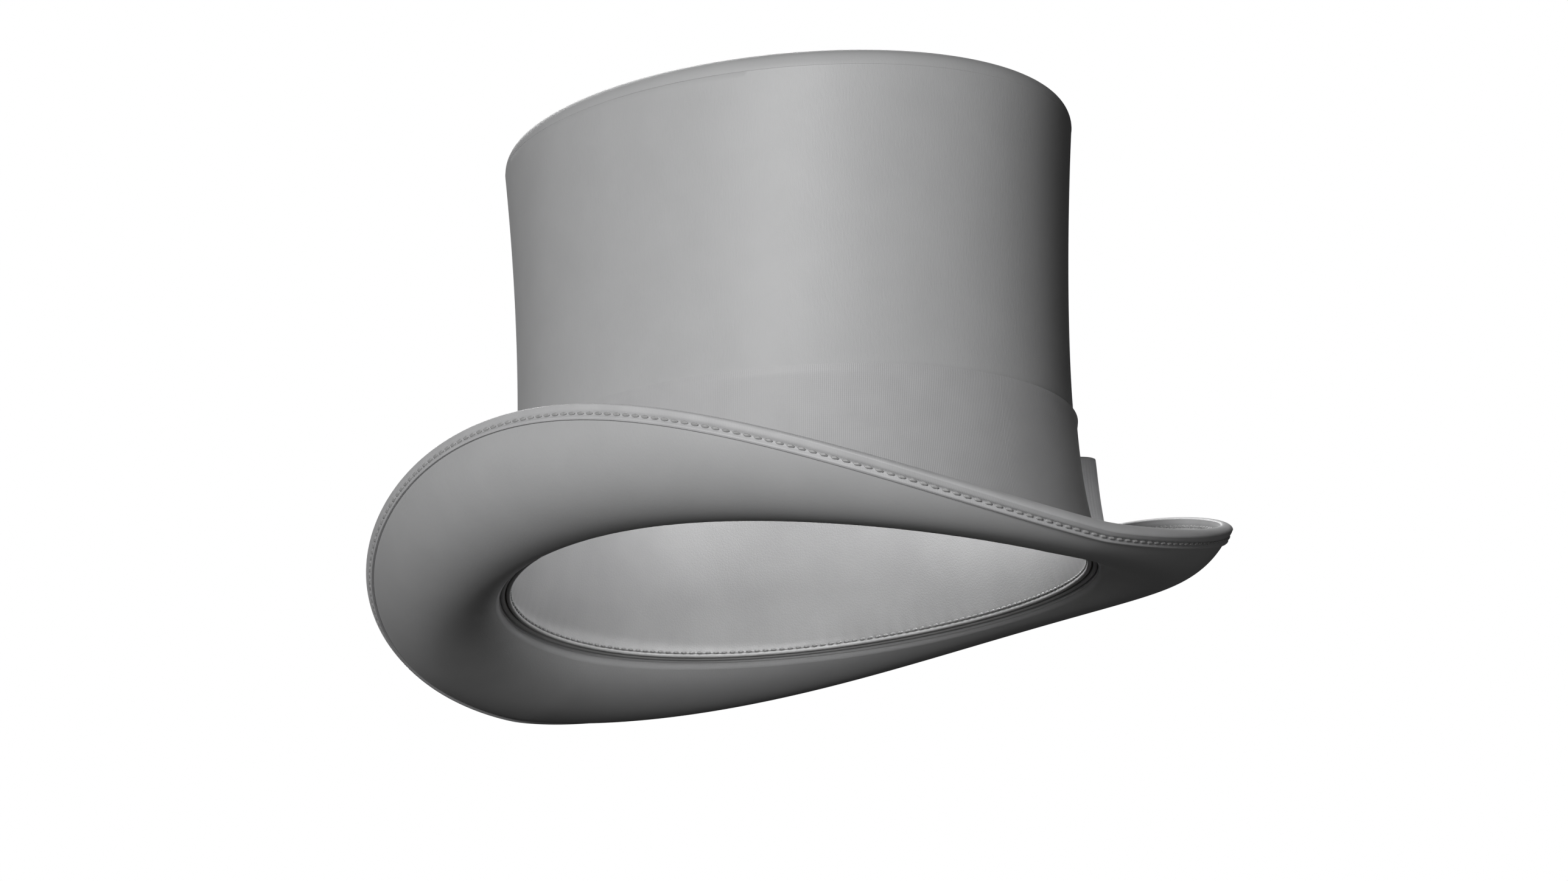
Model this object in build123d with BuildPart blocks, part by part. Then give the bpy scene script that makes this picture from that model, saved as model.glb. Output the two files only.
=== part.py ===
"""A formal top hat, in millimetres.

+Z is up, -Y is the front and +X is the wearer's left, where the bow is.
The origin is the centre of the head opening, level with the sweatband's bottom edge.
"""

from build123d import *
import os
from math import cos, exp, pi, radians, sin

# Head opening: an oval with a 575 mm girth.
opening_half_width = 85.3
opening_half_length = 97.5

# Crown side: a waist that flares towards the shoulder and, faster, towards the brim.
waist_half_width = 79.8
waist_half_length = 93.4
base_flare_width = 8.6
base_flare_length = 7.0
base_flare_height = 21.0
flare_start = 3.0
shoulder_flare_width = 1.5
shoulder_flare_length = 5.4
shoulder_flare_start = 50.0
shoulder_height = 140.0
crown_height = 146.0
shoulder_radius = 5.8

# Wall build-up, from the outer surface inwards.
gap = 0.05
cover_thickness = 0.9
shell_thickness = 1.6
lining_thickness = 0.3
sweatband_inset = 3.2
sweatband_thickness = 1.0
sweatband_height = 55.0
lining_low_edge = 50.0

# Brim underside: each section has a lowest point, and an arc of an ellipse on each side of it,
# the throat towards the opening and the curl towards the edge. Each tuple is (front, side, back).
low_point_out = (32.0, 7.4, 35.2)
low_point_height = (-16.3, -0.45, -17.3)
throat_half_width = (48.4, 14.7, 39.1)
throat_half_height = (59.6, 19.1, 29.6)
curl_half_width = (22.7, 28.6, 21.2)
curl_half_height = (29.1, 28.1, 25.2)
start_angle = (-70.0, -50.0, -70.0)
binding_angle = (21.0, 93.5, 17.1)
side_spread = 0.777
edge_beyond_binding_line = 4.4
under_cover_thickness = 0.6
core_thickness = 1.35
top_cover_thickness = 0.6
brim_sections = 13

# Edge binding and its two rows of thread.
binding_thickness = 0.7
binding_nose = 1.0
thread_size = 0.4
thread_from_binding_line = 1.5

# Rolls at the head opening. Each tuple is (ends, sides).
piping_radius = 0.8
piping_out = 1.3
piping_height = (-1.2, 3.0)
reed_radius = 0.7
reed_out = -0.6
reed_height = (-0.9, 3.3)
wall_low_edge = (-0.3, 3.9)
band_low_edge = (0.0, 3.5)
sweatband_thread_above_reed = 0.65

# Hat band and bow.
band_thickness = 0.9
band_height = 46.2
bow_low = 4.8
bow_high = 42.4
bow_inner_angle = 2.0
bow_fold_angle = 27.5
bow_fold_bulge = 2.8
bow_depth = 10.8
bow_crest = 10.2
bow_pinch = 3.0
ribbon = 0.9
knot_angle = 5.0
knot_depth = 7.0
knot_base = 0.1
knot_past = 1.0

brim_thickness = under_cover_thickness + core_thickness + top_cover_thickness + 2 * gap
shell_inset = cover_thickness + gap
lining_inset = shell_inset + shell_thickness + 0.1
tape_inset = lining_inset + 0.05


def crown_half(height):
    """Half width and half length of the crown's outer surface at a height."""
    base = exp(-(max(height, flare_start) - flare_start) / base_flare_height)
    rise = max(height - shoulder_flare_start, 0) / (shoulder_height - shoulder_flare_start)
    top = rise**2.1
    half_width = waist_half_width + base_flare_width * base + shoulder_flare_width * top
    half_length = waist_half_length + base_flare_length * base + shoulder_flare_length * top
    return half_width, half_length


def crown_ovals(low, high, inset, count=9):
    """Ovals that lie inset inside the crown's outer surface, from low to high."""
    ovals = []
    for step in range(count):
        height = low + (high - low) * step / (count - 1)
        half_width, half_length = crown_half(height)
        with BuildSketch(Plane.XY.offset(height)) as oval:
            Ellipse(half_width - inset, half_length - inset)
        ovals.append(oval.sketch)
    return ovals


def below_saddle(edge_heights):
    """A block whose top is an arched surface: low at the ends, high at the sides."""
    end_height, side_height = edge_heights
    reach = 1.25 * opening_half_length
    reach_height = side_height - (side_height - end_height) * 1.25**2
    floor = -60
    with BuildPart() as block:
        with BuildSketch(Plane.YZ):
            with BuildLine():
                ThreePointArc((-reach, reach_height), (0, side_height), (reach, reach_height))
                Polyline((reach, reach_height), (reach, floor), (-reach, floor), (-reach, reach_height))
            make_face()
        extrude(amount=150, both=True)
    return block.part


def rounded_block(inset, top, radius):
    """A solid oval block from the shoulder up, with a rounded top edge."""
    half_width, half_length = crown_half(shoulder_height)
    with BuildPart() as block:
        with BuildSketch(Plane.XY.offset(shoulder_height)):
            Ellipse(half_width - inset, half_length - inset)
        extrude(amount=top - shoulder_height)
        fillet(block.edges().group_by(Axis.Z)[-1], radius)
    return block.part


def side_share(turn):
    """0 at the front and back, 1 at the sides, for a turn in degrees from the front."""
    return abs(sin(radians(turn))) ** (2 * side_spread)


def around(values, turn):
    """A (front, side, back) value at a turn in degrees from the front."""
    front, side, back = values
    end = (front + back) / 2 + (front - back) / 2 * cos(radians(turn))
    return end + (side - end) * side_share(turn)


def saddle(values, turn):
    """An (ends, sides) value at a turn in degrees from the front."""
    end, side = values
    return side + (end - side) * cos(radians(turn)) ** 2


def section_plane(turn):
    """An upright plane across the brim: local X points out of the opening, local Y up."""
    across, along = sin(radians(turn)), -cos(radians(turn))
    normal = Vector(across / opening_half_width, along / opening_half_length, 0).normalized()
    origin = (opening_half_width * across, opening_half_length * along, 0)
    return Plane(origin=origin, x_dir=normal, z_dir=normal.cross(Vector(0, 0, 1)))


def curl_point(turn, depth, angle):
    """A point of the curl: depth above the underside, angle from the lowest point."""
    out = around(low_point_out, turn) + (around(curl_half_width, turn) - depth) * sin(radians(angle))
    curl = around(curl_half_height, turn)
    height = around(low_point_height, turn) + curl - (curl - depth) * cos(radians(angle))
    return out, height


def brim_arc(turn, depth, first, last, widths, heights):
    """The part of the throat or the curl at one depth between two angles."""
    centre = (around(low_point_out, turn), around(low_point_height, turn) + around(heights, turn))
    half_width = around(widths, turn) - depth
    half_height = around(heights, turn) - depth
    return EllipticalCenterArc(centre, half_width, half_height, first - 90, arc_size=last - first)


def throat_arc(turn, depth):
    """The throat at one depth."""
    first = around(start_angle, turn)
    return brim_arc(turn, depth, first, 0, throat_half_width, throat_half_height)


def curl_arc(turn, depth, first, last):
    """The curl at one depth between two angles."""
    return brim_arc(turn, depth, first, last, curl_half_width, curl_half_height)


def edge_angle(turn, beyond):
    """The angle of a point that lies beyond the binding's lower line."""
    radius = (around(curl_half_width, turn) + around(curl_half_height, turn)) / 2
    return around(binding_angle, turn) + beyond / radius * 180 / pi


def layer_section(turn, low, high):
    """A brim layer's section between two depths."""
    last = edge_angle(turn, edge_beyond_binding_line)
    with BuildSketch(section_plane(turn)) as section:
        with BuildLine():
            under_throat = throat_arc(turn, low)
            over_throat = throat_arc(turn, high)
            under_curl = curl_arc(turn, low, 0, last)
            over_curl = curl_arc(turn, high, 0, last)
            Line(under_throat @ 0, over_throat @ 0)
            Line(under_curl @ 1, over_curl @ 1)
        make_face()
    return section.sketch


def binding_section(turn):
    """A ribbon folded round the brim's edge."""
    first = edge_angle(turn, 0)
    last = edge_angle(turn, edge_beyond_binding_line)
    inside = edge_angle(turn, edge_beyond_binding_line + gap)
    nose = edge_angle(turn, edge_beyond_binding_line + binding_nose)
    low, high = -gap, brim_thickness + gap
    with BuildSketch(section_plane(turn)) as section:
        with BuildLine():
            outer = curl_arc(turn, low - binding_thickness, first, last)
            upper = curl_arc(turn, high + binding_thickness, first, last)
            ThreePointArc(outer @ 1, curl_point(turn, brim_thickness / 2, nose), upper @ 1)
            inner_low = curl_arc(turn, low, first, inside)
            inner_high = curl_arc(turn, high, first, inside)
            Line(inner_low @ 1, inner_high @ 1)
            Line(inner_low @ 0, outer @ 0)
            Line(inner_high @ 0, upper @ 0)
        make_face()
    return section.sketch


def thread_section(turn, low, high):
    """A row of thread that lies on the binding between two depths."""
    first = edge_angle(turn, thread_from_binding_line)
    last = edge_angle(turn, thread_from_binding_line + thread_size)
    with BuildSketch(section_plane(turn)) as section:
        with BuildLine():
            Polyline(
                curl_point(turn, low, first),
                curl_point(turn, low, last),
                curl_point(turn, high, last),
                curl_point(turn, high, first),
                close=True,
            )
        make_face()
    return section.sketch


def roll_section(turn, radius, out, height):
    """A round cord that follows the head opening."""
    with BuildSketch(section_plane(turn)) as section:
        with Locations((out, height)):
            Circle(radius)
    return section.sketch


def half_turn(make_section, *sizes):
    """Sections from the front round the left side to the back."""
    turns = [180 * step / (brim_sections - 1) for step in range(brim_sections)]
    return [make_section(turn, *sizes) for turn in turns]


def roll_sections(radius, out, heights):
    """Sections of a round cord from the front round the left side to the back."""
    turns = [180 * step / (brim_sections - 1) for step in range(brim_sections)]
    return [roll_section(turn, radius, out, saddle(heights, turn)) for turn in turns]


def bow_point(height, angle, out, side):
    """A point outside the hat band, by its angle from the middle of the left side."""
    half_width, half_length = crown_half(height)
    lift = gap + band_thickness + out
    x = (half_width + lift) * cos(radians(angle))
    y = (half_length + lift) * sin(radians(angle)) * side
    return x, y


def loop_section(height, side, inset):
    """A ribbon loop seen from above: an inner leg on the band, a fold and an outer leg."""
    start = bow_inner_angle + inset / 2
    fold = bow_fold_angle
    middle = (start + fold) / 2
    near = 0.1 + inset
    with BuildSketch(Plane.XY.offset(height)) as section:
        with BuildLine():
            inner = ThreePointArc(
                bow_point(height, start, near, side),
                bow_point(height, middle, near, side),
                bow_point(height, fold, near, side),
            )
            outer = ThreePointArc(
                bow_point(height, start, bow_pinch - inset, side),
                bow_point(height, middle, bow_crest - inset, side),
                bow_point(height, fold, bow_depth - inset, side),
            )
            tip = bow_point(height, fold + bow_fold_bulge - inset / 2, bow_depth / 2, side)
            ThreePointArc(inner @ 1, tip, outer @ 1)
            Line(inner @ 0, outer @ 0)
        make_face()
    return section.sketch


def loop_sections(side, inset, low, high, count=4):
    """Sections of a ribbon loop from its low edge to its high edge."""
    heights = [low + (high - low) * step / (count - 1) for step in range(count)]
    return [loop_section(height, side, inset) for height in heights]


def knot_section(height, base, depth, angle):
    """The knot's outline from above, from the band out to a depth."""
    with BuildSketch(Plane.XY.offset(height)) as section:
        with BuildLine():
            inner = ThreePointArc(
                bow_point(height, angle, base, -1),
                bow_point(height, 0, base, 1),
                bow_point(height, angle, base, 1),
            )
            outer = ThreePointArc(
                bow_point(height, angle, depth, -1),
                bow_point(height, 0, depth, 1),
                bow_point(height, angle, depth, 1),
            )
            Line(inner @ 0, outer @ 0)
            Line(inner @ 1, outer @ 1)
        make_face()
    return section.sketch


def knot_sections(base, depth, angle, low, high, count=4):
    """Sections of the knot from low to high."""
    heights = [low + (high - low) * step / (count - 1) for step in range(count)]
    return [knot_section(height, base, depth, angle) for height in heights]


def save(piece, label):
    """Names a finished piece and writes it to its file."""
    piece.label = label
    export_step(piece, f"parts/{label}.step")


os.makedirs("parts", exist_ok=True)
lowest = -12.0
above_seam = 0.05

# Crown
wall_cut = below_saddle(wall_low_edge)

with BuildPart() as crown_side_cover:
    loft(crown_ovals(lowest, shoulder_height - above_seam, 0))
    loft(crown_ovals(lowest, shoulder_height - above_seam, cover_thickness), mode=Mode.SUBTRACT)
    add(wall_cut, mode=Mode.SUBTRACT)
save(crown_side_cover.part, "crown_side_cover")

with BuildPart() as crown_side_shell:
    loft(crown_ovals(lowest, shoulder_height - above_seam, shell_inset))
    loft(crown_ovals(lowest, shoulder_height - above_seam, shell_inset + shell_thickness), mode=Mode.SUBTRACT)
    add(wall_cut, mode=Mode.SUBTRACT)
save(crown_side_shell.part, "crown_side_shell")

tip_cover_block = rounded_block(0, crown_height, shoulder_radius)
tip_cover_void = rounded_block(
    cover_thickness, crown_height - cover_thickness, shoulder_radius - cover_thickness
)
with BuildPart() as crown_tip_cover:
    add(tip_cover_block)
    add(tip_cover_void, mode=Mode.SUBTRACT)
save(crown_tip_cover.part, "crown_tip_cover")

tip_shell_top = crown_height - shell_inset
tip_shell_block = rounded_block(shell_inset, tip_shell_top, shoulder_radius - shell_inset)
tip_void_inset = shell_inset + shell_thickness
tip_shell_void = rounded_block(
    tip_void_inset, tip_shell_top - shell_thickness, shoulder_radius - tip_void_inset
)
with BuildPart() as crown_tip_shell:
    add(tip_shell_block)
    add(tip_shell_void, mode=Mode.SUBTRACT)
save(crown_tip_shell.part, "crown_tip_shell")

# Lining
tip_lining_top = tip_shell_top - shell_thickness - gap
with BuildPart() as side_lining:
    loft(crown_ovals(lining_low_edge, shoulder_height, lining_inset))
    loft(crown_ovals(lining_low_edge, shoulder_height, lining_inset + lining_thickness), mode=Mode.SUBTRACT)
save(side_lining.part, "side_lining")

with BuildPart() as tip_lining:
    with BuildSketch(Plane.XY.offset(tip_lining_top - lining_thickness)):
        Ellipse(*[half - lining_inset - lining_thickness for half in crown_half(shoulder_height)])
    extrude(amount=lining_thickness)
save(tip_lining.part, "tip_lining")

# Brim: the under cover and the core reach in below the crown's walls, to the piping.
outside_crown = -0.1
under_crown = 0.75


def brim_layer(low, high, inset):
    """A layer of the brim between two depths, cut clear of the crown's foot or the piping."""
    sections = half_turn(layer_section, low, high)
    plug = crown_ovals(-30, 30, inset, 13)
    with BuildPart() as layer:
        loft(sections)
        mirror(about=Plane.YZ)
        loft(plug, mode=Mode.SUBTRACT)
    return layer.part


core_low = under_cover_thickness + gap
top_cover_low = core_low + core_thickness + gap
save(brim_layer(0, under_cover_thickness, under_crown), "brim_under_cover")
save(brim_layer(core_low, core_low + core_thickness, outside_crown), "brim_core")
save(brim_layer(top_cover_low, brim_thickness, outside_crown), "brim_top_cover")

with BuildPart() as brim_binding:
    loft(half_turn(binding_section))
    mirror(about=Plane.YZ)
save(brim_binding.part, "brim_binding")

under_thread_depth = -gap - binding_thickness - gap
with BuildPart() as binding_thread_under:
    loft(half_turn(thread_section, under_thread_depth - thread_size, under_thread_depth))
    mirror(about=Plane.YZ)
save(binding_thread_under.part, "binding_thread_under")

upper_thread_depth = brim_thickness + gap + binding_thickness + gap
with BuildPart() as binding_thread_upper:
    loft(half_turn(thread_section, upper_thread_depth, upper_thread_depth + thread_size))
    mirror(about=Plane.YZ)
save(binding_thread_upper.part, "binding_thread_upper")

# Head opening
with BuildPart() as opening_piping:
    loft(roll_sections(piping_radius, piping_out, piping_height))
    mirror(about=Plane.YZ)
save(opening_piping.part, "opening_piping")

with BuildPart() as sweatband_reed:
    loft(roll_sections(reed_radius, reed_out, reed_height))
    mirror(about=Plane.YZ)
save(sweatband_reed.part, "sweatband_reed")

sweatband_low_edge = [height + reed_radius + gap for height in reed_height]
sweatband_cut = below_saddle(sweatband_low_edge)
with BuildPart() as sweatband:
    loft(crown_ovals(lowest, sweatband_height, sweatband_inset))
    loft(crown_ovals(lowest, sweatband_height, sweatband_inset + sweatband_thickness), mode=Mode.SUBTRACT)
    add(sweatband_cut, mode=Mode.SUBTRACT)
save(sweatband.part, "sweatband")

tape_height = 12.0
with BuildPart() as reed_tape:
    loft(crown_ovals(lowest, tape_height, tape_inset))
    loft(crown_ovals(lowest, tape_height, tape_inset + lining_thickness), mode=Mode.SUBTRACT)
    add(sweatband_cut, mode=Mode.SUBTRACT)
save(reed_tape.part, "reed_tape")

thread_inset = sweatband_inset + sweatband_thickness + gap
thread_low_edge = [height + sweatband_thread_above_reed for height in reed_height]
thread_high_edge = [height + thread_size for height in thread_low_edge]
thread_low_cut = below_saddle(thread_low_edge)
thread_high_keep = below_saddle(thread_high_edge)
with BuildPart() as sweatband_thread:
    loft(crown_ovals(lowest, 15, thread_inset))
    loft(crown_ovals(lowest, 15, thread_inset + thread_size), mode=Mode.SUBTRACT)
    add(thread_low_cut, mode=Mode.SUBTRACT)
    add(thread_high_keep, mode=Mode.INTERSECT)
save(sweatband_thread.part, "sweatband_thread")

# Hat band and bow
band_cut = below_saddle(band_low_edge)
with BuildPart() as hat_band:
    loft(crown_ovals(lowest, band_height, -gap - band_thickness))
    loft(crown_ovals(lowest, band_height, -gap), mode=Mode.SUBTRACT)
    add(band_cut, mode=Mode.SUBTRACT)
save(hat_band.part, "hat_band")

for label, side in (("bow_front_loop", -1), ("bow_rear_loop", 1)):
    with BuildPart() as bow_loop:
        loft(loop_sections(side, 0, bow_low, bow_high))
        loft(loop_sections(side, ribbon, bow_low - 1, bow_high + 1), mode=Mode.SUBTRACT)
    save(bow_loop.part, label)

knot_low = bow_low - 0.1
knot_high = bow_high + 0.1
knot_inside = knot_depth - ribbon
with BuildPart() as bow_knot:
    loft(knot_sections(knot_base, knot_depth, knot_angle, knot_low - ribbon, knot_high + ribbon))
    loft(knot_sections(-knot_past, knot_inside, knot_angle + knot_past, knot_low, knot_high), mode=Mode.SUBTRACT)
save(bow_knot.part, "bow_knot")
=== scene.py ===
"""Looks of the formal top hat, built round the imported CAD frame, in metres.

The shapes follow the same few dimensions as the CAD parts, so each piece lies where its node does.
A turn is an angle in radians from the front (-Y) towards the wearer's left (+X).
"""

from math import cos, pi, radians, sin

import bmesh
import bpy
import numpy as np
from mathutils import Matrix, Vector


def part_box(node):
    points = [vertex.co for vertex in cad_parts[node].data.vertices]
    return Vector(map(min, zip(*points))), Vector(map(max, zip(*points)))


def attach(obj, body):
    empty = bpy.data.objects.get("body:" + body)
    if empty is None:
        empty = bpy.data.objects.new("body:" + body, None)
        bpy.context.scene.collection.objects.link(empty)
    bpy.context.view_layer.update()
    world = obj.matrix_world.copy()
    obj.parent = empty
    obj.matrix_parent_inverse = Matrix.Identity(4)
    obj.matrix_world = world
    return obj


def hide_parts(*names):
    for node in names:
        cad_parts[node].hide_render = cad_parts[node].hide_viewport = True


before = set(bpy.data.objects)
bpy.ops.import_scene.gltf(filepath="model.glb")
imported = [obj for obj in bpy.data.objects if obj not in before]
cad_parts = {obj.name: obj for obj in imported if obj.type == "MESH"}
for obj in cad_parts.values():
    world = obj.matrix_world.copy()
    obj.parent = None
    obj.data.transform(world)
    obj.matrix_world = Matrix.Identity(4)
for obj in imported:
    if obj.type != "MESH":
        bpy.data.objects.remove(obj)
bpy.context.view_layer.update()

MM = 0.001

# Shape of the hat, in millimetres, as in the CAD parts.
OPENING = (85.3, 97.5)
WAIST = (79.8, 93.4)
BASE_FLARE = (8.6, 7.0)
BASE_FLARE_HEIGHT = 21.0
FLARE_START = 3.0
SHOULDER_FLARE = (1.5, 5.4)
SHOULDER_FLARE_START = 50.0
SHOULDER_HEIGHT = 140.0
SHOULDER_RADIUS = 5.8
CROWN_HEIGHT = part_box("crown_tip_cover")[1].z / MM
COVER = 0.9

# Brim section, as (front, side, back): a throat towards the opening and a curl towards the edge.
LOW_POINT_OUT = (32.0, 7.4, 35.2)
LOW_POINT_HEIGHT = (-16.3, -0.45, -17.3)
THROAT_HALF_WIDTH = (48.4, 14.7, 39.1)
THROAT_HALF_HEIGHT = (59.6, 19.1, 29.6)
CURL_HALF_WIDTH = (22.7, 28.6, 21.2)
CURL_HALF_HEIGHT = (29.1, 28.1, 25.2)
BINDING_ANGLE = (21.0, 93.5, 17.1)
SIDE_SPREAD = 0.777
FOOT_OUT = 2.1
CROWN_FOOT_OUT = 3.0
BRIM_THICKNESS = 2.65
FELT = 0.6
EDGE_BEYOND_LINE = 4.4
BINDING = 0.75
NOSE = 1.0
CHANNEL_AT = 1.95
CHANNEL_DEPTH = 0.55
CHANNEL_WIDTH = 0.78

# Stitches: half length, half width and half height of one, and how many go round.
BINDING_STITCH, BINDING_STITCHES = (1.28, 0.5, 0.46), 252
BINDING_STITCH_SUNK = 0.34
SWEATBAND_STITCH, SWEATBAND_STITCHES = (0.95, 0.42, 0.36), 212

# Rolls and bands, with (ends, sides) where the height follows the brim's saddle.
PIPING_OUT, PIPING_RADIUS, PIPING_HEIGHT = 1.3, 0.8, (-1.2, 3.0)
REED_OUT, REED_RADIUS, REED_HEIGHT = -0.6, 0.7, (-0.9, 3.3)
WALL_LOW = (-0.3, 3.9)
BAND_LOW = (0.0, 3.5)
BAND_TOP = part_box("hat_band")[1].z / MM
BAND_GAP = 0.05
RIBBON = 0.9
SWEATBAND_INSET, SWEATBAND = 3.2, 1.0
SWEATBAND_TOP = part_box("sweatband")[1].z / MM
SWEAT_STITCH_ABOVE_REED = 0.95
LINING_INSET, LINING = 2.7, 0.25
LINING_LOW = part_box("side_lining")[0].z / MM
LINING_TOP = 140.0

# Bow, by its angle from the middle of the left side.
BOW_LOW, BOW_HIGH = 4.8, 42.4
BOW_START, BOW_FOLD = 2.0, 27.5
BOW_DEPTH, BOW_CREST, BOW_PINCH = 10.8, 10.2, 3.0
KNOT_HALF, KNOT_DEPTH = 5.0, 7.0

BRIM_TURNS = 512
CROWN_TURNS = 512


# ---------------------------------------------------------------- surfaces

def ring_turns(count):
    """Turns once round the hat, as a column."""
    return (np.arange(count) * 2 * pi / count)[:, None]


def around(values, turn):
    """A (front, side, back) value at each turn."""
    front, side, back = values
    end = (front + back) / 2 + (front - back) / 2 * np.cos(turn)
    return end + (side - end) * np.abs(np.sin(turn)) ** (2 * SIDE_SPREAD)


def saddle(values, turn):
    """An (ends, sides) value at each turn."""
    end, side = values
    return side + (end - side) * np.cos(turn) ** 2


def crown_half(height):
    """Half width and half length of the crown's outer surface at each height."""
    base = np.exp(-(np.maximum(height, FLARE_START) - FLARE_START) / BASE_FLARE_HEIGHT)
    span = SHOULDER_HEIGHT - SHOULDER_FLARE_START
    top = (np.clip(height - SHOULDER_FLARE_START, 0, span) / span) ** 2.1
    return [WAIST[i] + BASE_FLARE[i] * base + SHOULDER_FLARE[i] * top for i in (0, 1)]


def crown_points(turn, inset, height):
    """Points inside the crown's outer surface by inset, at a height."""
    half_width, half_length = crown_half(height)
    turn, inset, height = np.broadcast_arrays(turn, inset, height)
    x = (half_width - inset) * np.sin(turn)
    y = -(half_length - inset) * np.cos(turn)
    return np.stack([x, y, height], -1)


def section_points(turn, out, height):
    """Points out from the head opening, square to its edge, at a height."""
    turn, out, height = np.broadcast_arrays(turn, out, height)
    across, along = np.sin(turn), -np.cos(turn)
    nx, ny = across / OPENING[0], along / OPENING[1]
    size = np.hypot(nx, ny)
    x = OPENING[0] * across + nx / size * out
    y = OPENING[1] * along + ny / size * out
    return np.stack([x, y, height], -1)


def brim_points(turn, depth, angle):
    """Points of the brim: depth above its underside, angle from its lowest line."""
    in_throat = angle < 0
    wide = np.where(in_throat, around(THROAT_HALF_WIDTH, turn), around(CURL_HALF_WIDTH, turn))
    tall = np.where(in_throat, around(THROAT_HALF_HEIGHT, turn), around(CURL_HALF_HEIGHT, turn))
    out = around(LOW_POINT_OUT, turn) + (wide - depth) * np.sin(angle)
    height = around(LOW_POINT_HEIGHT, turn) + tall - (tall - depth) * np.cos(angle)
    return section_points(turn, out, height)


def edge_angle(turn, beyond):
    """The angle of a point beyond the binding's line, which can be less than 0."""
    radius = (around(CURL_HALF_WIDTH, turn) + around(CURL_HALF_HEIGHT, turn)) / 2
    return np.radians(around(BINDING_ANGLE, turn)) + beyond / radius


def foot_angle(turn, depth, out):
    """The angle at which the brim's throat is this far out from the opening."""
    reach = out - around(LOW_POINT_OUT, turn)
    return np.arcsin(reach / (around(THROAT_HALF_WIDTH, turn) - depth))


# ---------------------------------------------------------------- meshes

def add_object(name, vertices, faces, uvs=None):
    """A smooth mesh object with an optional thread-space UV map in millimetres."""
    mesh = bpy.data.meshes.new(name)
    corners = [tuple(vertex) for vertex in np.asarray(vertices) * MM]
    mesh.from_pydata(corners, [], [tuple(map(int, face)) for face in faces])
    if uvs is not None:
        layer = mesh.uv_layers.new(name="thread_space")
        layer.data.foreach_set("uv", np.asarray(uvs, np.float32).ravel())
    work = bmesh.new()
    work.from_mesh(mesh)
    bmesh.ops.recalc_face_normals(work, faces=work.faces)
    work.to_mesh(mesh)
    work.free()
    mesh.polygons.foreach_set("use_smooth", [True] * len(mesh.polygons))
    mesh.set_sharp_from_angle(angle=radians(38))
    piece = bpy.data.objects.new(name, mesh)
    bpy.context.scene.collection.objects.link(piece)
    return piece


def grid_faces(rows, columns, wrap_rows, wrap_columns):
    """Quads of a grid of points, and each corner's place in the unwrapped grid."""
    row = np.arange(rows if wrap_rows else rows - 1)
    column = np.arange(columns if wrap_columns else columns - 1)
    r, c = (a.ravel() for a in np.meshgrid(row, column, indexing="ij"))
    corners = [(r, c), (r + 1, c), (r + 1, c + 1), (r, c + 1)]
    faces = np.stack([(a % rows) * columns + b % columns for a, b in corners], -1)
    places = np.stack([np.stack([a, b], -1) for a, b in corners], 1)
    return faces, places


def lengths_along(points, axis):
    """Mean distance run along one axis of a closed grid of points."""
    step = np.roll(points, -1, axis) - points
    mean = np.linalg.norm(step, axis=-1).mean(1 - axis)
    return np.concatenate([[0], np.cumsum(mean)])


def ring_mesh(name, points):
    """A closed ring: each row of points is a closed profile."""
    rows, columns = points.shape[:2]
    faces, places = grid_faces(rows, columns, True, True)
    u, v = lengths_along(points, 0), lengths_along(points, 1)
    uvs = np.stack([u[places[..., 0]], v[places[..., 1]]], -1)
    return add_object(name, points.reshape(-1, 3), faces, uvs)


def profile(*runs):
    """Runs of numbers end to end as one row."""
    return np.concatenate([np.atleast_1d(run) for run in runs])[None, :]


def crown_ring(name, low, high, outer, inner, steps, wave=None):
    """A tube that follows the crown, from a low edge that may be a saddle to a level high edge."""
    turn = ring_turns(CROWN_TURNS)
    share = np.linspace(0, 1, steps)
    rim = np.array([0.0, 0.12, 0.5, 0.88, 1.0])
    shares = profile(share, np.ones(3), share[::-1], np.zeros(3))
    insets = outer + (inner - outer) * profile(
        np.zeros(steps), rim[1:4], np.ones(steps), rim[3:0:-1]
    )
    bulge = min(inner - outer, 0.6) * 0.35
    rounded = bulge * np.array([0.7, 1, 0.7])
    lift = profile(np.zeros(steps), rounded, np.zeros(steps), -rounded)
    bottom = saddle(low, turn)
    height = bottom + (high - bottom) * shares + lift
    if wave is not None:
        insets = insets + wave(turn, shares)
    return ring_mesh(name, crown_points(turn, insets, height))


def finish_piece(piece, material, slot, *nodes):
    """Gives a piece its material and the root body, and hides the CAD nodes that it stands for; slot
    is not used.
    """
    piece.data.materials.append(material)
    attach(piece, "root")
    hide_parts(*nodes)
    return piece


# ---------------------------------------------------------------- materials

def new_material(name, **sockets):
    """A Principled material with its constant sockets set."""
    material = bpy.data.materials.new(name)
    material.use_nodes = True
    shader = material.node_tree.nodes["Principled BSDF"]
    for socket, value in sockets.items():
        shader.inputs[socket.replace("_", " ")].default_value = value
    return material


def add_node(material, kind, inputs=(), **settings):
    """A node with settings; inputs are (socket, value or output socket) pairs."""
    node = material.node_tree.nodes.new(kind)
    for key, value in settings.items():
        setattr(node, key, value)
    for socket, value in inputs:
        if isinstance(value, bpy.types.NodeSocket):
            material.node_tree.links.new(value, node.inputs[socket])
        else:
            node.inputs[socket].default_value = value
    return node


def object_coordinates(material, stretch=(1, 1, 1)):
    """Object coordinates, stretched."""
    place = add_node(material, "ShaderNodeTexCoord").outputs["Object"]
    return add_node(material, "ShaderNodeMapping", [("Vector", place), ("Scale", stretch)]).outputs[0]


def noise(material, vector, size_mm, detail=2.0, roughness=0.5):
    """Noise whose features are about size_mm across."""
    inputs = [
        ("Vector", vector),
        ("Scale", 1 / (size_mm * MM)),
        ("Detail", detail),
        ("Roughness", roughness),
    ]
    return add_node(material, "ShaderNodeTexNoise", inputs).outputs["Fac"]


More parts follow.
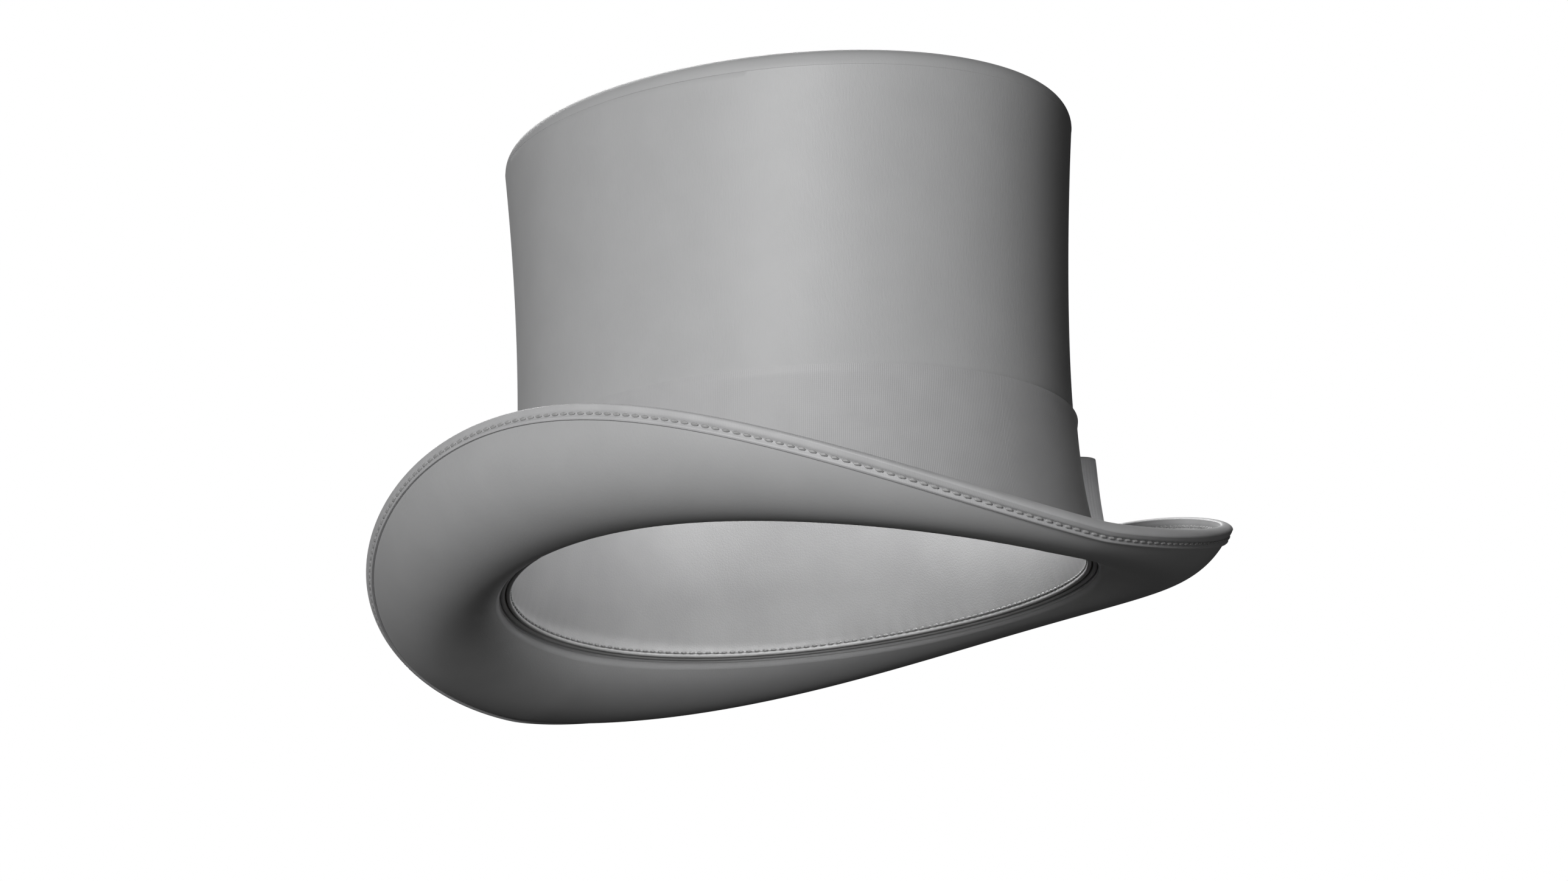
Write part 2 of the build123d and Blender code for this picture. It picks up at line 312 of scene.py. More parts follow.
def thread_coordinates(material):
    """Thread-space coordinates in millimetres: X along the ribbon, Y across it."""
    uv = add_node(material, "ShaderNodeUVMap", uv_map="thread_space").outputs[0]
    split = add_node(material, "ShaderNodeSeparateXYZ", [(0, uv)])
    return split.outputs[0], split.outputs[1]


def waves(material, value, pitch_mm):
    """A sine of a millimetre coordinate, from -1 to 1, that repeats every pitch."""
    turns = math_node(material, "MULTIPLY", value, 2 * pi / pitch_mm)
    return add_node(material, "ShaderNodeMath", [(0, turns)], operation="SINE").outputs[0]


def math_node(material, operation, first, second):
    """One math node."""
    inputs = [(0, first), (1, second)]
    return add_node(material, "ShaderNodeMath", inputs, operation=operation).outputs[0]


def tint(material, factor, dark, light, low=0.3, high=0.7):
    """Base colour that varies between two greys."""
    ramp = add_node(material, "ShaderNodeValToRGB", [("Fac", factor)])
    ramp.color_ramp.elements[0].position = low
    ramp.color_ramp.elements[0].color = (*dark, 1)
    ramp.color_ramp.elements[1].position = high
    ramp.color_ramp.elements[1].color = (*light, 1)
    shader = material.node_tree.nodes["Principled BSDF"]
    material.node_tree.links.new(ramp.outputs["Color"], shader.inputs["Base Color"])


def vary_roughness(material, factor, low, high):
    """Roughness that varies between two values."""
    inputs = [("Value", factor), ("To Min", low), ("To Max", high)]
    spread = add_node(material, "ShaderNodeMapRange", inputs)
    shader = material.node_tree.nodes["Principled BSDF"]
    material.node_tree.links.new(spread.outputs[0], shader.inputs["Roughness"])


def bump(material, height, depth_mm, strength=1.0, below=None):
    """A bump layer on top of an earlier one."""
    inputs = [("Height", height), ("Distance", depth_mm * MM), ("Strength", strength)]
    if below is not None:
        inputs.append(("Normal", below))
    layer = add_node(material, "ShaderNodeBump", inputs).outputs[0]
    shader = material.node_tree.nodes["Principled BSDF"]
    material.node_tree.links.new(layer, shader.inputs["Normal"])
    return layer


def felt_material(name, dark, light):
    """Short-napped felt: brushed fibres, soft mottling, a low sheen."""
    material = new_material(
        name, Roughness=0.52, Sheen_Weight=0.06, Sheen_Roughness=0.45, Specular_IOR_Level=0.5
    )
    plain = object_coordinates(material)
    brushed = object_coordinates(material, (1, 1, 0.22))
    mottle = noise(material, plain, 14, 3)
    nap = noise(material, brushed, 0.55, 4, 0.65)
    fibre = noise(material, plain, 0.22, 2)
    broad = math_node(material, "MULTIPLY", mottle, 0.7)
    fine = math_node(material, "MULTIPLY", nap, 0.3)
    tint(material, math_node(material, "ADD", broad, fine), dark, light, 0.32, 0.68)
    vary_roughness(material, nap, 0.45, 0.58)
    layer = bump(material, nap, 0.10, 0.5)
    bump(material, fibre, 0.04, 0.5, layer)
    return material


def ribbon_material(name, dark, light, pitch):
    """Grosgrain: ribs across the ribbon, a fine warp between them."""
    material = new_material(
        name, Roughness=0.5, Sheen_Weight=0.15, Sheen_Roughness=0.4, Specular_IOR_Level=0.4
    )
    along, across = thread_coordinates(material)
    ribs = waves(material, along, pitch)
    warp = waves(material, across, 0.28)
    rib_share = math_node(material, "MULTIPLY", ribs, 0.75)
    weave = math_node(material, "ADD", rib_share, math_node(material, "MULTIPLY", warp, 0.25))
    fade = noise(material, object_coordinates(material), 9, 3)
    shade = math_node(material, "ADD", math_node(material, "MULTIPLY", weave, 0.05), fade)
    tint(material, shade, dark, light, 0.32, 0.68)
    vary_roughness(material, fade, 0.42, 0.58)
    layer = bump(material, weave, 0.05, 0.35)
    bump(material, noise(material, object_coordinates(material), 0.3, 2), 0.03, 0.5, layer)
    return material


def thread_material():
    """Twisted polyester thread."""
    material = new_material("stitch_thread", Roughness=0.45, Sheen_Weight=0.2, Sheen_Roughness=0.4)
    plain = object_coordinates(material)
    tint(material, noise(material, plain, 1.2, 2), (0.25, 0.25, 0.25), (0.33, 0.33, 0.33))
    bump(material, noise(material, plain, 0.12, 2), 0.04, 0.6)
    return material


def leather_material(name, dark, light):
    """Fine-grained leather with pores and handling marks."""
    material = new_material(
        name, Roughness=0.45, Specular_IOR_Level=0.5, Coat_Weight=0.06, Coat_Roughness=0.35
    )
    plain = object_coordinates(material)
    inputs = [("Vector", plain), ("Scale", 1 / (0.9 * MM))]
    grain = add_node(material, "ShaderNodeTexVoronoi", inputs, feature="DISTANCE_TO_EDGE")
    cells = math_node(material, "MINIMUM", grain.outputs["Distance"], 0.22)
    wear = noise(material, plain, 18, 4)
    tint(material, wear, dark, light, 0.35, 0.65)
    vary_roughness(material, wear, 0.38, 0.55)
    layer = bump(material, cells, 0.25, 0.35)
    bump(material, noise(material, plain, 4, 3), 0.05, 0.25, layer)
    return material


def satin_material():
    """Satin lining: long floats with a directional gloss."""
    material = new_material("lining_satin", Roughness=0.32, Anisotropic=0.5, Sheen_Weight=0.1)
    fine = object_coordinates(material, (1, 1, 0.08))
    weave = noise(material, fine, 0.25, 2)
    cloud = noise(material, object_coordinates(material), 12, 3)
    tint(material, cloud, (0.42, 0.42, 0.43), (0.52, 0.52, 0.53))
    vary_roughness(material, weave, 0.26, 0.4)
    bump(material, weave, 0.04, 0.5)
    return material


def buckram_material():
    """Stiffened open-weave cloth inside the hat's walls."""
    material = new_material("stiffened_cloth", Roughness=0.8)
    place = object_coordinates(material)
    split = add_node(material, "ShaderNodeSeparateXYZ", [(0, place)])
    places = [math_node(material, "DIVIDE", output, MM) for output in split.outputs]
    threads = [waves(material, place, 1.1) for place in places]
    first = math_node(material, "MAXIMUM", threads[0], threads[1])
    weave = math_node(material, "MAXIMUM", first, threads[2])
    tint(material, weave, (0.3, 0.28, 0.25), (0.46, 0.44, 0.4), 0.0, 1.0)
    bump(material, weave, 0.2, 0.6)
    return material


FELT_MATERIAL = felt_material("crown_felt", (0.352, 0.353, 0.356), (0.372, 0.373, 0.376))
BRIM_MATERIAL = felt_material("brim_felt", (0.352, 0.353, 0.356), (0.372, 0.373, 0.376))
BAND_MATERIAL = ribbon_material("band_grosgrain", (0.352, 0.352, 0.356), (0.368, 0.368, 0.372), 0.6)
# Painted highlight: the binding is the band's grey grosgrain painted lighter, for a highlight on its
# outer strip.
BINDING_PAINTED_HIGHLIGHT_MATERIAL = ribbon_material("binding_grosgrain_painted_highlight", (0.385, 0.385, 0.39), (0.42, 0.42, 0.425), 0.5)
# Painted light: the bow is the band's grey grosgrain painted much lighter, standing in for the light
# that the crown's shade keeps off the bow.
BOW_PAINTED_LIGHT_MATERIAL = ribbon_material("bow_grosgrain_painted_light", (0.56, 0.56, 0.57), (0.63, 0.63, 0.64), 0.9)
THREAD_MATERIAL = thread_material()
LEATHER_MATERIAL = leather_material("sweatband_leather", (0.362, 0.362, 0.364), (0.39, 0.39, 0.392))
ROLL_MATERIAL = leather_material("roll_leather", (0.38, 0.38, 0.38), (0.44, 0.44, 0.44))
SATIN_MATERIAL = satin_material()
BUCKRAM_MATERIAL = buckram_material()


# ---------------------------------------------------------------- crown

def make_crown_side():
    """The felt side, a little uneven as steamed felt is."""
    def hand(turn, share):
        return 0.05 * np.sin(3 * turn + 5 * share) + 0.03 * np.sin(7 * turn - 9 * share)
    high = SHOULDER_HEIGHT - 0.1
    piece = crown_ring("crown_side_felt", WALL_LOW, high, 0.0, COVER, 72, hand)
    return finish_piece(piece, FELT_MATERIAL, "felt_cover", "crown_side_cover")


def make_crown_tip():
    """The felt tip: a rounded shoulder and a flat top."""
    turn = ring_turns(CROWN_TURNS)
    bend = np.linspace(0, pi / 2, 14)
    flat = np.linspace(0, 1, 26)[1:-1]
    half = crown_half(SHOULDER_HEIGHT)
    def surface(inset, radius, top):
        insets = inset + radius * (1 - np.cos(bend))
        heights = top - radius + radius * np.sin(bend)
        rim = np.stack([half[0] - insets, half[1] - insets, heights], -1)
        rim = np.concatenate([[[rim[0][0], rim[0][1], SHOULDER_HEIGHT]], rim])
        across, along = rim[-1][0] * (1 - flat), rim[-1][1] * (1 - flat)
        inner = np.stack([across, along, np.full_like(flat, top)], -1)
        return np.concatenate([rim, inner])
    outer = surface(0, SHOULDER_RADIUS, CROWN_HEIGHT)
    under = surface(COVER, SHOULDER_RADIUS - COVER, CROWN_HEIGHT - COVER)
    line = np.concatenate([outer, under[::-1]])
    x, y = line[:, 0] * np.sin(turn), -line[:, 1] * np.cos(turn)
    points = np.stack(np.broadcast_arrays(x, y, line[:, 2]), -1)
    rows, columns = points.shape[:2]
    faces, places = grid_faces(rows, columns, True, False)
    centre = len(outer) - 1
    faces = faces[places[:, 0, 1] != centre].tolist()
    vertices = points.reshape(-1, 3)
    starts = [(r * columns, (r + 1) % rows * columns) for r in range(rows)]
    low_edge = [[a, b, b + columns - 1, a + columns - 1] for a, b in starts]
    top_middle, under_middle = len(vertices), len(vertices) + 1
    vertices = np.concatenate([vertices, [[0, 0, CROWN_HEIGHT], [0, 0, CROWN_HEIGHT - COVER]]])
    for a, b in starts:
        faces.append([a + centre, b + centre, top_middle])
        faces.append([a + centre + 1, b + centre + 1, under_middle])
    piece = add_object("crown_tip_felt", vertices, faces + low_edge)
    return finish_piece(piece, FELT_MATERIAL, "felt_cover", "crown_tip_cover")


# ---------------------------------------------------------------- brim

def brim_layer(name, low, high, foot, steps=56):
    """A felt layer of the brim between two depths, from a foot (out, depth) profile to the edge."""
    turn = ring_turns(BRIM_TURNS)
    share = np.linspace(0, 1, steps)
    foot_out, foot_depth = (np.array(run) for run in zip(*foot))
    count = len(foot_out)
    shares = profile(share, share[::-1], np.zeros(count))
    depth = profile(np.full(steps, low), np.full(steps, high), foot_depth)
    out = profile(np.full(steps, foot_out[-1]), np.full(steps, foot_out[0]), foot_out)
    first = foot_angle(turn, depth, out)
    last = edge_angle(turn, EDGE_BEYOND_LINE)
    return ring_mesh(name, brim_points(turn, depth, first + (last - first) * shares))


def binding_profile():
    """The folded ribbon's section: distance beyond its line, and depth above the brim's underside."""
    run = np.linspace(0, EDGE_BEYOND_LINE, 30)
    channel = CHANNEL_DEPTH * np.exp(-(((run - CHANNEL_AT) / CHANNEL_WIDTH) ** 2))
    roll = 0.25 * np.exp(-(((run - 0.6) / 0.5) ** 2))
    middle = BRIM_THICKNESS / 2
    half = middle + BINDING
    turn = np.linspace(-pi / 2, pi / 2, 18)[1:-1]
    nose = EDGE_BEYOND_LINE + NOSE * np.cos(turn)
    nose_depth = middle + half * np.sin(turn)
    inside = run[2:-1:3]
    beyond = profile(0.0, run, nose, run[::-1], 0.0, inside, inside[::-1])
    low, high = -0.04, BRIM_THICKNESS + 0.04
    inner = np.zeros(len(inside))
    lip = BINDING * 0.35
    depth = profile(
        low - lip * 0.2,
        low - BINDING + channel - roll + 0.1,
        nose_depth,
        (high + BINDING - channel + roll - 0.1)[::-1],
        high + lip * 0.2,
        inner + high,
        inner + low,
    )
    return beyond, depth


def make_binding():
    """The ribbon folded round the brim's edge, with a stitched channel on each face."""
    turn = ring_turns(BRIM_TURNS)
    beyond, depth = binding_profile()
    points = brim_points(turn, depth, edge_angle(turn, beyond))
    piece = ring_mesh("brim_binding_ribbon", points)
    return finish_piece(piece, BINDING_PAINTED_HIGHLIGHT_MATERIAL, "binding_ribbon", "brim_binding")


# ---------------------------------------------------------------- stitches

def stitch_shape(around_count=10, along_count=9):
    """One twisted stitch of unit half length, width and height, as (along, across, up)."""
    along = np.linspace(-1, 1, along_count)
    angle = np.arange(around_count) * 2 * pi / around_count
    grid_along, grid_angle = np.meshgrid(along, angle, indexing="ij")
    radius = np.sqrt(np.maximum(1 - np.abs(grid_along) ** 2.6, 0.02))
    ply = 1 + 0.13 * np.cos(2 * (grid_angle - 2.2 * grid_along))
    across, up = radius * ply * np.cos(grid_angle), radius * ply * np.sin(grid_angle)
    points = np.stack([grid_along, across, up], -1)
    faces, _ = grid_faces(along_count, around_count, False, True)
    last = (along_count - 1) * around_count
    ends = [list(range(around_count)), list(range(last, last + around_count))]
    return points.reshape(-1, 3), faces.tolist() + ends


def stitch_row(name, line, lift, half_sizes, count):
    """Separate stitches along a closed line of points; lift points away from the surface."""
    step = np.linalg.norm(np.roll(line, -1, 0) - line, axis=1)
    run = np.concatenate([[0], np.cumsum(step)])
    closed = np.concatenate([line, line[:1]])
    lifts = np.concatenate([lift, lift[:1]])
    def at_run(places, values):
        return np.stack([np.interp(places, run, values[:, i]) for i in range(3)], -1)
    at = (np.arange(count) + 0.5) * run[-1] / count
    centre, up = at_run(at, closed), at_run(at, lifts)
    ahead = at_run((at + 0.5) % run[-1], closed) - centre
    ahead /= np.linalg.norm(ahead, axis=1)[:, None]
    side = np.cross(up, ahead)
    side /= np.linalg.norm(side, axis=1)[:, None]
    up = np.cross(ahead, side)
    shape, faces = stitch_shape()
    local = shape * np.array(half_sizes)
    points = (
        centre[:, None]
        + local[None, :, 0:1] * ahead[:, None]
        + local[None, :, 1:2] * side[:, None]
        + local[None, :, 2:3] * up[:, None]
    )
    every = [[v + n * len(shape) for v in face] for n in range(count) for face in faces]
    return add_object(name, points.reshape(-1, 3), every)


def binding_stitches(name, depth, towards, node):
    """A row of stitches in one of the binding's channels."""
    turn = ring_turns(BRIM_TURNS * 2)
    angle = edge_angle(turn, CHANNEL_AT)
    line = brim_points(turn, depth, angle)[:, 0]
    lift = brim_points(turn, depth + towards, angle)[:, 0] - line
    piece = stitch_row(name, line, lift, BINDING_STITCH, BINDING_STITCHES)
    return finish_piece(piece, THREAD_MATERIAL, "thread", node)


# ---------------------------------------------------------------- head opening

def roll(name, out, radius, heights, node, slot):
    """A covered cord round the head opening, with fine wrinkles where its cover bends."""
    turn = ring_turns(CROWN_TURNS * 2)
    angle = (np.arange(20) * 2 * pi / 20)[None, :]
    wrinkle = 0.012 * np.sin(turn * 211) * np.cos(angle) + 0.01 * np.sin(turn * 87 + 2 * angle)
    size = radius * (1 + wrinkle)
    height = saddle(heights, turn) + size * np.sin(angle)
    points = section_points(turn, out + size * np.cos(angle), height)
    return finish_piece(ring_mesh(name, points), ROLL_MATERIAL, slot, node)


def make_sweatband():
    """The leather band inside the crown, slightly rippled where it is sewn to the reed."""
    low = [height + REED_RADIUS + 0.05 for height in REED_HEIGHT]
    def ripple(turn, share):
        sewn = 0.10 * np.sin(108 * turn) * np.exp(-share * 14)
        return sewn + 0.12 * np.sin(5 * turn + 1) * share
    inner = SWEATBAND_INSET + SWEATBAND
    piece = crown_ring("sweatband_leather", low, SWEATBAND_TOP, SWEATBAND_INSET, inner, 48, ripple)
    return finish_piece(piece, LEATHER_MATERIAL, "sweatband_leather", "sweatband")


def make_sweatband_stitches():
    """The row of stitches above the reed."""
    turn = ring_turns(CROWN_TURNS * 2)
    heights = [height + SWEAT_STITCH_ABOVE_REED for height in REED_HEIGHT]
    height = saddle(heights, turn)
    inset = SWEATBAND_INSET + SWEATBAND + 0.12
    line = crown_points(turn, inset, height)[:, 0]
    lift = crown_points(turn, inset + 1, height)[:, 0] - line
    piece = stitch_row("sweatband_stitches", line, lift, SWEATBAND_STITCH, SWEATBAND_STITCHES)
    return finish_piece(piece, THREAD_MATERIAL, "thread", "sweatband_thread")


# ---------------------------------------------------------------- band and bow

def make_band():
    """The hat band, with a slightly thicker woven edge at the top and bottom."""
    turn = ring_turns(CROWN_TURNS * 2)
    steps = 60
    share = np.linspace(0, 1, steps)
    edges = np.exp(-(share / 0.028) ** 2) + np.exp(-(((1 - share) / 0.028) ** 2))
    selvedge = 0.42 * edges
    shares = profile(share, 1.0, share[::-1], 0.0)
    outer, inner = -BAND_GAP - RIBBON, -BAND_GAP
    middle = (outer + inner) / 2
    insets = profile(outer + 0.12 - selvedge, middle, np.full(steps, inner), middle)
    bottom = saddle(BAND_LOW, turn)
    lift = profile(np.zeros(steps), 0.2, np.zeros(steps), -0.2)
    height = bottom + (BAND_TOP - 0.2 - bottom) * shares + lift
    piece = ring_mesh("hat_band_ribbon", crown_points(turn, insets, height))
    return finish_piece(piece, BAND_MATERIAL, "band_ribbon", "hat_band")


def bow_points(angle, lift, height, side):
    """Points outside the hat band by their angle from the middle of the left side."""
    half_width, half_length = crown_half(height)
    lift = lift + BAND_GAP + RIBBON
    x = (half_width + lift) * np.cos(angle)
    y = (half_length + lift) * np.sin(angle) * side
    return np.stack(np.broadcast_arrays(x, y, height), -1)


def smooth(share):
    """Eases from 0 to 1."""
    return share * share * (3 - 2 * share)


def loop_path(count):
    """A ribbon loop seen from above, from the knot along the band, round the fold and back."""
    leg = np.linspace(0, 1, count)
    start, fold = radians(BOW_START), radians(BOW_FOLD)
    inner_angle = start + (fold - start) * leg
    inner_lift = np.full(count, 0.6)
    bend = np.linspace(-pi / 2, pi / 2, count // 3)[1:-1]
    middle = (0.6 + BOW_DEPTH) / 2
    reach = radians(2.4)
    fold_angle = fold + reach * np.cos(bend)
    fold_lift = middle + (BOW_DEPTH - 0.6) / 2 * np.sin(bend)
    back = leg[::-1]
    outer_angle = start + (fold - start) * back
    puff = (BOW_CREST - BOW_DEPTH + 0.9) * np.sin(pi * back) ** 2
    outer_lift = BOW_PINCH + (BOW_DEPTH - BOW_PINCH) * smooth(np.minimum(back * 1.9, 1)) + puff
    angle = np.concatenate([inner_angle, fold_angle, outer_angle])
    lift = np.concatenate([inner_lift, fold_lift, outer_lift])
    return angle, lift


def make_loop(name, side, node):
    """A ribbon loop with fine ribs across it, gathered towards the knot."""
    angle, lift = loop_path(150)
    gather = np.exp(-np.degrees(angle - radians(BOW_START)) / 5.0)
    middle_height = (BOW_LOW + BOW_HIGH) / 2
    half = (BOW_HIGH - BOW_LOW) / 2
    across = np.linspace(-1, 1, 48)[:, None]
    height = middle_height + half * across * (1 - 0.16 * gather[None, :])
    pleat = 0.35 * gather[None, :] * np.cos(across * 5 * pi)
    run = np.linspace(0, 1, len(angle))
    rib = 0.09 * np.sin(run * 2 * pi * 96)[None, :]
    edge = 0.25 * (np.abs(across) ** 10)
    outward = np.sign(np.gradient(angle))[None, :] * -1.0
    lifts = lift[None, :] + rib + pleat - edge * 0.4 * outward
    top = bow_points(angle[None, :] + 0 * across, lifts, height, side)
    rows, columns = top.shape[:2]
    faces, places = grid_faces(rows, columns, False, False)
    step = np.linalg.norm(np.diff(top[rows // 2], axis=0), axis=1)
    u = np.concatenate([[0], np.cumsum(step)])
    v = np.linspace(0, 2 * half, rows)
    uvs = np.stack([u[places[..., 1]], v[places[..., 0]]], -1)
    piece = add_object(name, top.reshape(-1, 3), faces, uvs)
    thick = piece.modifiers.new("thickness", "SOLIDIFY")
    thick.thickness = 0.6 * MM
    thick.offset = 0
    return finish_piece(piece, BOW_PAINTED_LIGHT_MATERIAL, "band_ribbon", node)


def make_knot():
    """The strip wrapped round the middle of the bow, over its edges and back to the band."""
    low, high = BOW_LOW - 0.4, BOW_HIGH + 0.4
    tuck = np.linspace(0, 1, 12)[:-1]
    run = np.linspace(0, 1, 60)
    heights = np.concatenate([np.full(11, low), low + (high - low) * run, np.full(11, high)])
    face = KNOT_DEPTH - 0.9 + 0.55 * np.sin(pi * run) ** 0.6
    start = 0.4 + (face[0] - 0.4) * tuck
    finish = 0.4 + (face[-1] - 0.4) * tuck
    lifts = np.concatenate([start, face, finish[::-1]])
    ease = np.clip((lifts - 0.4) / (face[0] - 0.4), 0, 1)
    from_middle = heights - (low + high) / 2
    at_corner = np.abs(from_middle) > (high - low) / 2 - 0.5
    heights = heights + np.where(from_middle < 0, 0.36, -0.36) * ease * at_corner
    across = np.linspace(-1, 1, 40)[:, None]
    folds = 0.22 * np.cos(across * 4 * pi)
    angle = radians(KNOT_HALF - 0.4) * across
    crown_shape = 0.5 * (1 - across**4)
    lift = lifts[None, :] + (folds + crown_shape) * ease[None, :]
    points = bow_points(angle + 0 * heights[None, :], lift, heights[None, :] + 0 * across, 1)
    rows, columns = points.shape[:2]
    faces, places = grid_faces(rows, columns, False, False)
    u = np.linspace(0, 60, columns)
    v = np.linspace(0, 15, rows)
    uvs = np.stack([u[places[..., 1]], v[places[..., 0]]], -1)
    piece = add_object("bow_knot_wrap", points.reshape(-1, 3), faces, uvs)
    thick = piece.modifiers.new("thickness", "SOLIDIFY")
    thick.thickness = 0.6 * MM
    thick.offset = -1
    return finish_piece(piece, BOW_PAINTED_LIGHT_MATERIAL, "band_ribbon", "bow_knot")


# ---------------------------------------------------------------- lining

def make_side_lining():
    """Satin gathered lightly into soft upright folds."""
    def folds(turn, share):
        upright = np.sin(46 * turn + 2 * np.sin(3 * turn))
        return 0.35 + 0.3 * upright * (0.25 + 0.75 * share)
    low, inner = (LINING_LOW, LINING_LOW), LINING_INSET + LINING
    piece = crown_ring("side_lining_satin", low, LINING_TOP, LINING_INSET, inner, 40, folds)
    return finish_piece(piece, SATIN_MATERIAL, "satin_lining", "side_lining")


def make_tip_lining():
    """The satin oval under the tip, with shallow gathers towards its edge."""
    low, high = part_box("tip_lining")
    half_width, half_length = high.x / MM, high.y / MM
    turn = ring_turns(CROWN_TURNS)
    share = np.linspace(0.02, 1, 40)
    gather = 0.25 * np.sin(46 * turn) * share**3
    x, y = half_width * share * np.sin(turn), -half_length * share * np.cos(turn)
    def face(height):
        return np.stack(np.broadcast_arrays(x, y, height), -1)
    level = high.z / MM - 0.35
    points = np.concatenate([face(level - gather), face(level - 0.2 - gather)[:, ::-1]], 1)
    piece = ring_mesh("tip_lining_satin", points)
    return finish_piece(piece, SATIN_MATERIAL, "satin_lining", "tip_lining")


# ---------------------------------------------------------------- build

crown_side = make_crown_side()
crown_tip = make_crown_tip()
under_crown = [(CROWN_FOOT_OUT, BRIM_THICKNESS - 0.3)]
upper = finish_piece(
    brim_layer("brim_upper_felt", BRIM_THICKNESS - FELT, BRIM_THICKNESS, under_crown),
    BRIM_MATERIAL,
    "felt_cover",
    "brim_top_cover",
)
rolled_in = [
    (FOOT_OUT + 1.3 * (1 - sin(bend)), 1.5 * (1 - cos(bend)))
    for bend in np.linspace(pi / 2, 0, 10)
]
under = finish_piece(
    brim_layer("brim_under_felt", 0.0, FELT, rolled_in),
    BRIM_MATERIAL,
    "felt_cover",
    "brim_under_cover",
)
binding = make_binding()
stitch_depth = BINDING - BINDING_STITCH_SUNK
binding_stitches("binding_stitches_under", -stitch_depth, -1, "binding_thread_under")
binding_stitches("binding_stitches_upper", BRIM_THICKNESS + stitch_depth, 1, "binding_thread_upper")
roll("opening_piping_roll", PIPING_OUT, PIPING_RADIUS, PIPING_HEIGHT, "opening_piping", "piping")
roll("sweatband_reed_roll", REED_OUT, REED_RADIUS, REED_HEIGHT, "sweatband_reed", "reed_leather")
sweatband = make_sweatband()
make_sweatband_stitches()
band = make_band()
front_loop = make_loop("bow_front_ribbon", -1, "bow_front_loop")
rear_loop = make_loop("bow_rear_ribbon", 1, "bow_rear_loop")
knot = make_knot()
side_lining = make_side_lining()
tip_lining = make_tip_lining()

for hidden in ("crown_side_shell", "crown_tip_shell", "brim_core", "reed_tape"):
    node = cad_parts[hidden]
    node.data.materials.clear()
    node.data.materials.append(BUCKRAM_MATERIAL)


# ---------------------------------------------------------------- studio

CAMERA_AZIMUTH, CAMERA_ELEVATION, CAMERA_ROLL = -41.36, -15.2, -1.44
CAMERA_DISTANCE = 2.317
CAMERA_LENS = 170.43
LOOK_AT_HEIGHT = 0.0467
LOOK_ASIDE = -0.00306
FLOOR_HEIGHT = -0.66


def direction(azimuth, elevation):
    """The unit vector from the hat towards a viewpoint."""
    a, e = radians(azimuth), radians(elevation)
    return Vector((sin(a) * cos(e), -cos(a) * cos(e), sin(e)))


def make_camera():
    """A long lens from below the brim, at the hat's front right."""
    back = direction(CAMERA_AZIMUTH, CAMERA_ELEVATION)
    right = Vector((0, 0, 1)).cross(back).normalized()
    up = back.cross(right)
    roll_by = radians(CAMERA_ROLL)
    turned = right * cos(roll_by) + up * sin(roll_by)
    up = up * cos(roll_by) - right * sin(roll_by)
    right = turned
    place = Vector((0, 0, LOOK_AT_HEIGHT)) + back * CAMERA_DISTANCE + right * LOOK_ASIDE
    data = bpy.data.cameras.new("camera")
    data.lens = CAMERA_LENS
    data.sensor_width = 36
    data.clip_end = 100
    camera = bpy.data.objects.new("camera", data)
    camera.matrix_world = Matrix.Translation(place) @ Matrix((right, up, back)).transposed().to_4x4()
    bpy.context.scene.collection.objects.link(camera)
    bpy.context.scene.camera = camera


def make_light(name, azimuth, elevation, distance, size, power):
    """A square soft box that faces the hat."""
    data = bpy.data.lights.new(name, "AREA")
    data.size = size
    data.energy = power
    light = bpy.data.objects.new(name, data)
    towards = direction(azimuth, elevation)
    light.location = Vector((0, 0, LOOK_AT_HEIGHT)) + towards * distance
    light.rotation_euler = towards.to_track_quat("Z", "Y").to_euler()
    light.visible_camera = False
    bpy.context.scene.collection.objects.link(light)


def make_inside_light(power):
    """A small soft light inside the crown, towards the wall that the opening shows."""
    data = bpy.data.lights.new("inside_fill", "AREA")
    data.size = 0.07
    data.energy = power
    light = bpy.data.objects.new("inside_fill", data)
    place, target = Vector((0.012, -0.05, 0.078)), Vector((0.085, 0.012, 0.02))
    light.location = place
    light.rotation_euler = (place - target).to_track_quat("Z", "Y").to_euler()
    light.visible_camera = False
    bpy.context.scene.collection.objects.link(light)


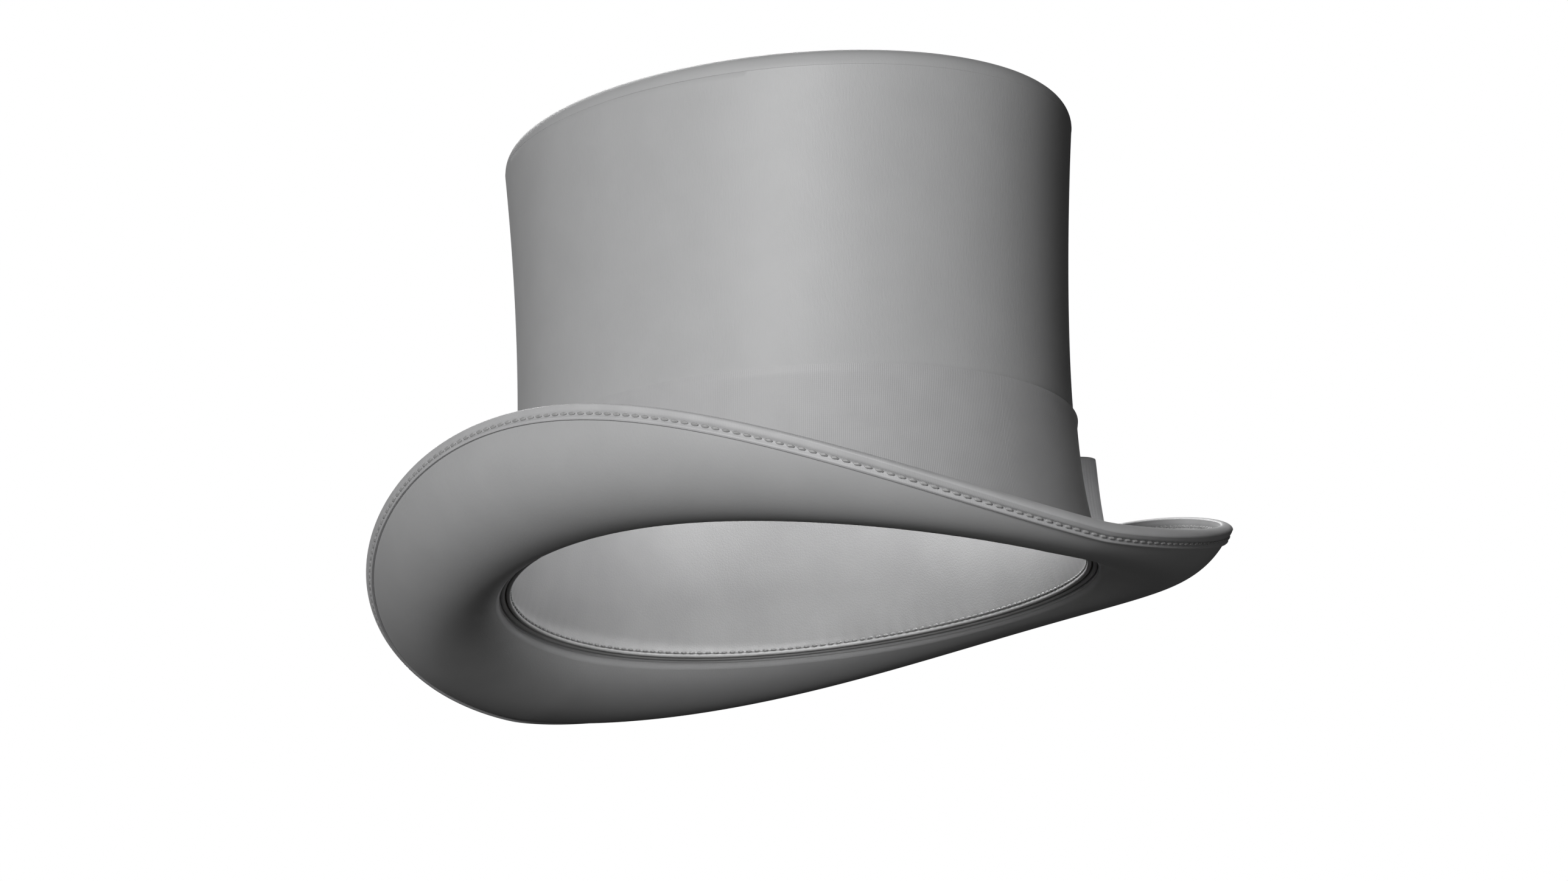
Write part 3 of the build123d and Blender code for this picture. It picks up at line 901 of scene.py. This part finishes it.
def make_bow_light(power):
    """A narrow soft beam on the bow's front end, which the crown shades from the key light."""
    data = bpy.data.lights.new("bow_accent", "SPOT")
    data.energy = power
    data.spot_size = radians(1.8)
    data.spot_blend = 0.8
    data.shadow_soft_size = 0.02
    light = bpy.data.objects.new("bow_accent", data)
    towards = direction(-32, 3)
    light.location = Vector((0.083, -0.05, 0.022)) + towards * 1.5
    light.rotation_euler = towards.to_track_quat("Z", "Y").to_euler()
    light.visible_camera = False
    bpy.context.scene.collection.objects.link(light)


def make_floor():
    """A pale floor, well below the hat and the camera."""
    bpy.ops.mesh.primitive_plane_add(size=30, location=(0, 0, FLOOR_HEIGHT))
    floor = bpy.context.object
    floor.name = "studio_floor"
    material = new_material("studio_floor", Roughness=0.9)
    patches = noise(material, object_coordinates(material), 400, 2)
    tint(material, patches, (0.8, 0.8, 0.8), (0.83, 0.83, 0.83))
    shader = material.node_tree.nodes["Principled BSDF"]
    shader.inputs["Emission Color"].default_value = (1, 1, 1, 1)
    shader.inputs["Emission Strength"].default_value = 0.6
    floor.data.materials.append(material)
    floor.visible_diffuse = False
    floor.visible_glossy = False


def make_world():
    """White behind the hat, and a dimmer even light on it."""
    world = bpy.data.worlds.new("studio")
    bpy.context.scene.world = world
    world.use_nodes = True
    nodes, links = world.node_tree.nodes, world.node_tree.links
    background = nodes["Background"]
    path = nodes.new("ShaderNodeLightPath")
    level = nodes.new("ShaderNodeMapRange")
    level.inputs["To Min"].default_value = 0.017
    level.inputs["To Max"].default_value = 1.0
    links.new(path.outputs["Is Camera Ray"], level.inputs["Value"])
    links.new(level.outputs[0], background.inputs["Strength"])
    background.inputs["Color"].default_value = (1, 1, 1, 1)


make_camera()
make_floor()
make_world()
make_light("key", -60, 1, 2.6, 0.8, 68)
make_light("left", -134, 2, 2.2, 1.0, 2)
make_light("above", -60, 70, 2.2, 1.0, 4)
make_light("below", -2, -38, 0.95, 0.5, 0.85)
make_light("behind", 150, 38, 2.4, 1.0, 22)
make_inside_light(0.215)
make_bow_light(30)
bpy.context.scene.view_settings.view_transform = "Standard"
